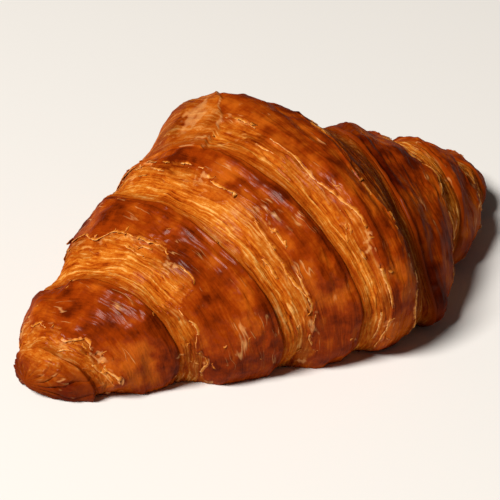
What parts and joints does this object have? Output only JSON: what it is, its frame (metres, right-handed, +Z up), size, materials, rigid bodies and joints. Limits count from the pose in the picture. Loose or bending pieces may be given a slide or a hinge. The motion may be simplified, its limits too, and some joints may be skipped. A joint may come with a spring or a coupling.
{
  "type": "croissant",
  "caption": "Baked butter croissant of rolled laminated dough: overlapping wraps taper from a thick middle to two blunt tips on a shallow crescent, with a flat base; eaten as food.",
  "frame": {"origin": "centre of the bounding box, at the flat base it rests on", "axes": "+X from the near tip to the far tip, along the length; -Y towards the bowed side; +Z up out of the base"},
  "size_m": [0.1372, 0.083, 0.047],
  "materials": {
    "crust": "baked laminated dough: glossy egg-washed red-brown skin on each wrap, torn at its edge over dull golden striated layers, with thin pale flakes"
  },
  "bodies": {
    "root": {"croissant": "crust"}
  },
  "joints": []
}
